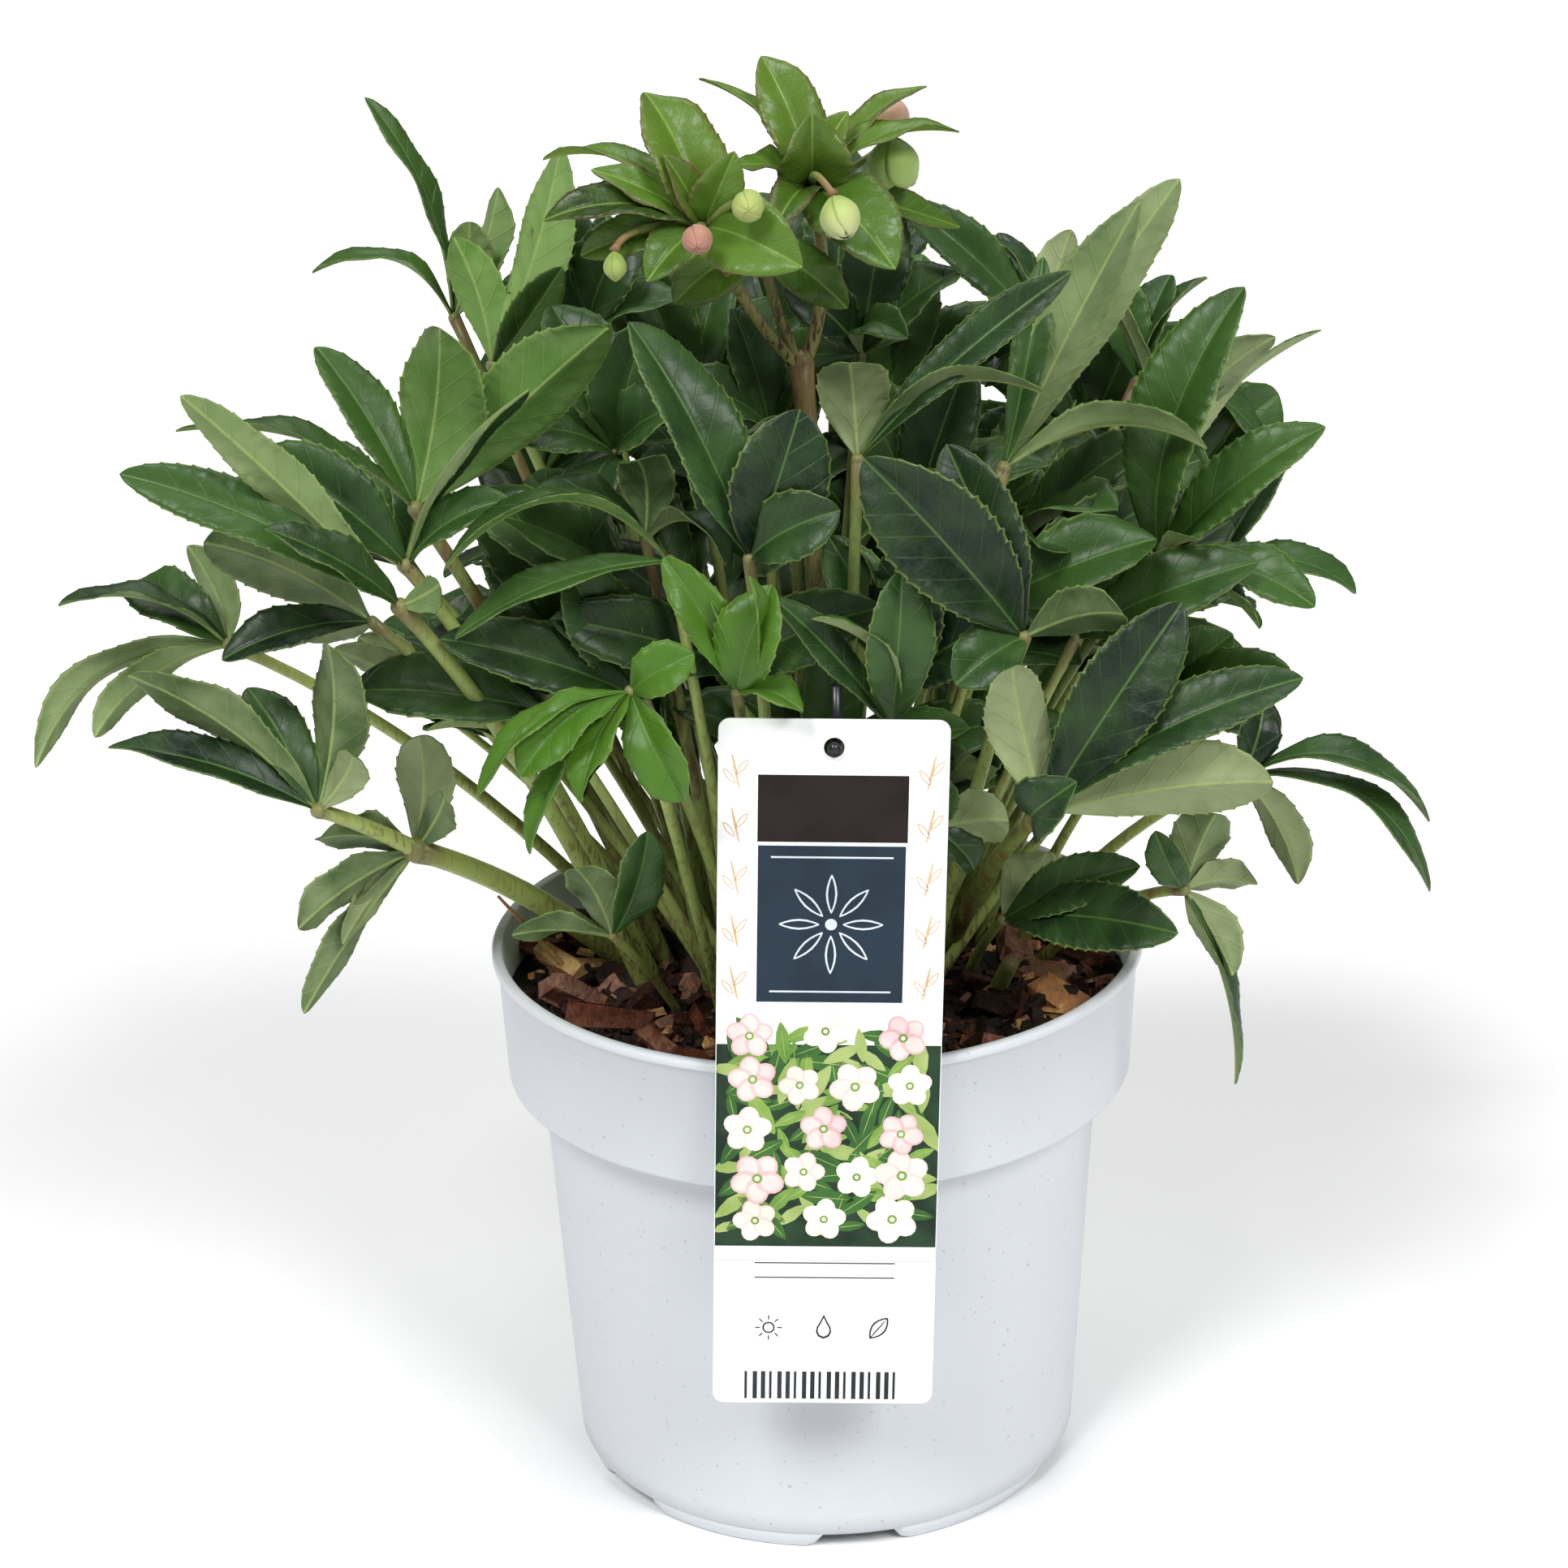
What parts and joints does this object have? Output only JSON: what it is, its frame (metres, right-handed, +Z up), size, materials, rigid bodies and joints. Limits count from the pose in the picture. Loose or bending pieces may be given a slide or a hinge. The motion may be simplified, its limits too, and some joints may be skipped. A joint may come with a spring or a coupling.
{
  "type": "potted hellebore plant",
  "caption": "Leafy evergreen hellebore with bell-shaped flowers in a round stepped nursery pot with bark-topped soil and a hanging plant label.",
  "frame": {"origin": "bottom centre of the bounding box of the whole plant, on the surface that the pot stands on", "axes": "+Z up, the plant's front with its label toward -Y, +X to the right seen from the front"},
  "size_m": [0.3802, 0.276, 0.4171],
  "materials": {
    "leaf": "glossy leathery evergreen leaf",
    "stem": "green plant stem",
    "sepal": "soft matte petal",
    "straw": "dry straw",
    "label": "satin printed card",
    "stake": "black moulded plastic",
    "pot": "pale grey moulded plastic",
    "soil": "damp bark and peat"
  },
  "bodies": {
    "root": {"leaf_01": "leaf", "leaf_02": "leaf", "leaf_03": "leaf", "leaf_04": "leaf", "leaf_05": "leaf", "leaf_06": "leaf", "leaf_07": "leaf", "leaf_08": "leaf", "leaf_09": "leaf", "leaf_10": "leaf", "leaf_11": "leaf", "leaf_12": "leaf", "leaf_13": "leaf", "leaf_14": "leaf", "leaf_15": "leaf", "leaf_16": "leaf", "leaf_17": "leaf", "leaf_18": "leaf", "leaf_19": "leaf", "leaf_20": "leaf", "leaf_21": "leaf", "leaf_22": "leaf", "leaf_23": "leaf", "leaf_24": "leaf", "leaf_25": "leaf", "leaf_26": "leaf", "leaf_27": "leaf", "leaf_28": "leaf", "leaf_29": "leaf", "leaf_30": "leaf", "leaf_31": "leaf", "leaf_32": "leaf", "leaf_33": "leaf", "leaf_34": "leaf", "leaf_35": "leaf", "leaf_36": "leaf", "leaf_37": "leaf", "leaf_38": "leaf", "leaf_39": "leaf", "leaf_40": "leaf", "leaf_41": "leaf", "leaf_42": "leaf", "leaf_43": "leaf", "leaf_44": "leaf", "leaf_45": "leaf", "leaf_46": "leaf", "leaf_47": "leaf", "flower_stem": "stem", "flower_pink": "sepal", "flower_green_small": "sepal", "flower_hanging": "sepal", "flower_back": "sepal", "flower_bell": "sepal", "flower_cream": "sepal", "straw": "straw", "cut_stub": "stem", "label": "label", "stake": "stake", "pot": "pot", "soil": "soil"}
  },
  "joints": []
}
